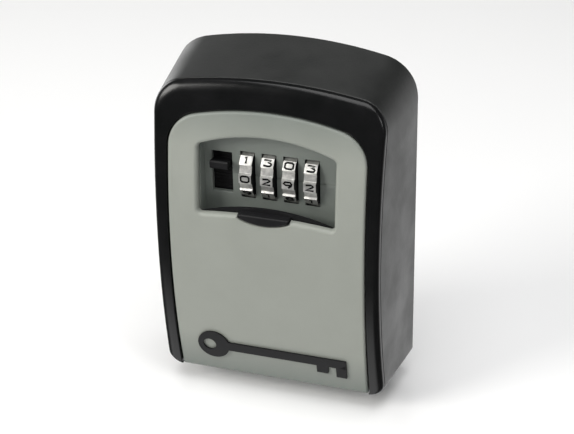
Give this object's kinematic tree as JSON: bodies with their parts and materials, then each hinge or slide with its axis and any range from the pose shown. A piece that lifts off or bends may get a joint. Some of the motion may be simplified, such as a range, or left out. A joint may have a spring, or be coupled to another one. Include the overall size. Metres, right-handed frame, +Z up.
{
  "type": "key lock box",
  "caption": "Wall-mounted key lock box with a bottom-hinged grey door, code dials, a release slider and a sliding weather shutter.",
  "frame": {"origin": "centre of the flat wall face on the back of the housing", "axes": "+Z up; the wall face looks along +Y, the door along -Y; +X is to the right seen from the front"},
  "size_m": [0.083, 0.0354, 0.115],
  "materials": {
    "housing_satin": "satin black paint on a zinc casting",
    "bezel_gloss": "glossy black moulded plastic",
    "door_coat": "satin grey-green paint on a zinc casting",
    "moulded_black": "fine matt moulded plastic",
    "dial_metal": "satin chrome with black filled digits",
    "zinc_plate": "zinc plated steel",
    "cast_zinc": "bare zinc casting",
    "spring_steel": "bright spring wire and strip"
  },
  "bodies": {
    "body": {"rear_housing": "housing_satin", "front_bezel": "bezel_gloss", "bezel_screw_1": "zinc_plate", "bezel_screw_2": "zinc_plate", "bezel_screw_3": "zinc_plate", "bezel_screw_4": "zinc_plate", "hinge_pin": "zinc_plate", "strike_plate": "zinc_plate"},
    "door": {"door_panel": "door_coat", "door_inlay": "moulded_black", "lock_case": "cast_zinc", "case_screw_1": "zinc_plate", "case_screw_2": "zinc_plate", "case_screw_3": "zinc_plate", "case_screw_4": "zinc_plate", "dial_shaft": "zinc_plate", "shaft_spacer": "moulded_black", "clutch_spring": "spring_steel", "detent_spring": "spring_steel"},
    "release": {"release_button": "moulded_black", "latch_slide": "zinc_plate", "latch_spring": "spring_steel"},
    "shutter": {"shutter": "moulded_black"},
    "code_lever": {"code_lever": "moulded_black"},
    "dial_1": {"dial_wheel_1": "dial_metal", "code_hub_1": "moulded_black"},
    "dial_2": {"dial_wheel_2": "dial_metal", "code_hub_2": "moulded_black"},
    "dial_3": {"dial_wheel_3": "dial_metal", "code_hub_3": "moulded_black"},
    "dial_4": {"dial_wheel_4": "dial_metal", "code_hub_4": "moulded_black"}
  },
  "joints": [
    {"name": "door_hinge", "type": "hinge", "parent": "body", "child": "door", "pos_m": [0, -0.0245, -0.0533], "axis": [1, 0, 0], "range_deg": [0, 90]},
    {"name": "release_slide", "type": "slide", "parent": "door", "child": "release", "axis": [0, 0, -1], "range_m": [0, 0.005], "stiffness_N_per_m": 400, "springref_m": -0.002, "deforming": ["latch_spring"]},
    {"name": "shutter_lift", "type": "hinge", "parent": "door", "child": "shutter", "pos_m": [0, 0.1858, -0.006], "axis": [-1, 0, 0], "range_deg": [0, 6.1]},
    {"name": "code_lever_slide", "type": "slide", "parent": "door", "child": "code_lever", "axis": [1, 0, 0], "range_m": [0, 0.003]},
    {"name": "dial_1_turn", "type": "hinge", "parent": "door", "child": "dial_1", "pos_m": [-0.0083, -0.0194, 0.0181], "axis": [1, 0, 0], "continuous": true},
    {"name": "dial_2_turn", "type": "hinge", "parent": "door", "child": "dial_2", "pos_m": [-0.00102, -0.0194, 0.0181], "axis": [1, 0, 0], "continuous": true},
    {"name": "dial_3_turn", "type": "hinge", "parent": "door", "child": "dial_3", "pos_m": [0.00626, -0.0194, 0.0181], "axis": [1, 0, 0], "continuous": true},
    {"name": "dial_4_turn", "type": "hinge", "parent": "door", "child": "dial_4", "pos_m": [0.01354, -0.0194, 0.0181], "axis": [1, 0, 0], "continuous": true}
  ]
}
